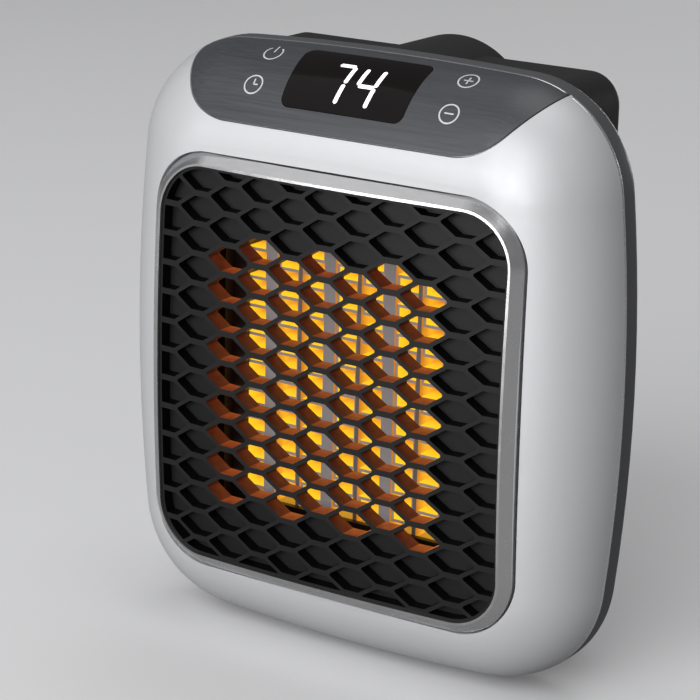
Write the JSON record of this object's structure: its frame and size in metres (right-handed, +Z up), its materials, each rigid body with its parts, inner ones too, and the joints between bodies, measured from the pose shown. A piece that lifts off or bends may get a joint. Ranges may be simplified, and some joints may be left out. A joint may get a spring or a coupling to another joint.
{
  "type": "plug-in fan heater",
  "caption": "Wall outlet fan heater: pillow-shaped silver body, honeycomb air grille over a ceramic core, touch panel with a window, black rear housing and a turning two-blade plug.",
  "frame": {"origin": "middle of the plug turret's outer face, on the wall plane", "axes": "+Z up, +Y into the wall along the blades, the grille looks along -Y, +X to the viewer's right when facing the grille"},
  "size_m": [0.1474, 0.0815, 0.162],
  "materials": {
    "satin_silver": "satin",
    "slate_panel": "fine brushed grain, satin",
    "window_black": "polished",
    "bright_trim": "satin plated",
    "grille_black": "satin",
    "tray_grey": "satin",
    "housing_black": "fine texture",
    "inner_black": "moulded",
    "frame_brown": "glass-filled",
    "brass": "plated",
    "steel": "zinc plated",
    "aluminium": "rolled sheet",
    "strip_ceramic": "matt",
    "insulator": "pressed mica",
    "board_green": "lacquered",
    "component_black": "moulded",
    "component_blue": "moulded",
    "component_yellow": "moulded",
    "connector_white": "moulded",
    "wire_black": "insulated",
    "wire_white": "insulated",
    "wire_red": "insulated",
    "fibre_washer": "matt"
  },
  "bodies": {
    "plug": {"plug_turret": "housing_black", "line_blade": "brass", "neutral_blade": "brass", "line_contact": "brass", "neutral_contact": "brass"},
    "heater": {"front_shell": "satin_silver", "control_panel": "slate_panel", "display_window": "window_black", "bezel_ring": "bright_trim", "grille": "grille_black", "rear_tray": "tray_grey", "rear_housing": "housing_black", "turret_retainer": "inner_black", "friction_washer": "fibre_washer", "wiper_bridge": "inner_black", "line_wiper": "brass", "neutral_wiper": "brass", "switch_frame": "component_black", "switch_tabs": "brass", "heater_strips": "strip_ceramic", "core_dividers": "aluminium", "heater_fins": "aluminium", "core_insulators": "insulator", "core_frame": "frame_brown", "core_terminals": "steel", "thermostat": "component_black", "thermal_fuse": "connector_white", "fan_duct": "inner_black", "fan_motor": "steel", "motor_cap": "inner_black", "motor_mount": "inner_black", "control_board": "board_green", "display_module": "component_black", "touch_springs": "steel", "buzzer": "component_black", "controller_chip": "component_black", "room_sensor": "component_black", "board_plug": "connector_white", "power_board": "board_green", "relay": "component_blue", "film_capacitor": "component_yellow", "electrolytic_capacitor": "component_black", "fuse": "connector_white", "heater_terminals": "board_green", "mains_terminals": "component_black", "board_sockets": "connector_white", "line_wire": "wire_black", "switched_wire": "wire_black", "neutral_wire": "wire_white", "heater_wires": "wire_red", "motor_wires": "wire_red", "signal_wires": "wire_white", "body_screws": "steel", "housing_screws": "steel", "duct_screws": "steel", "small_screws": "steel"},
    "fan": {"fan_impeller": "inner_black", "motor_shaft": "steel"},
    "rocker": {"switch_rocker": "component_black"}
  },
  "joints": [
    {"name": "plug_turn", "type": "hinge", "parent": "plug", "child": "heater", "pos_m": [0, 0, 0], "axis": [0, 1, 0], "range_deg": [-90, 90]},
    {"name": "fan_spin", "type": "hinge", "parent": "heater", "child": "fan", "pos_m": [0, -0.0235, -0.0606], "axis": [0, 1, 0], "continuous": true},
    {"name": "switch_tilt", "type": "hinge", "parent": "heater", "child": "rocker", "pos_m": [-0.0508, -0.018, -0.0944], "axis": [0, 1, 0], "range_deg": [-16, 0]}
  ]
}
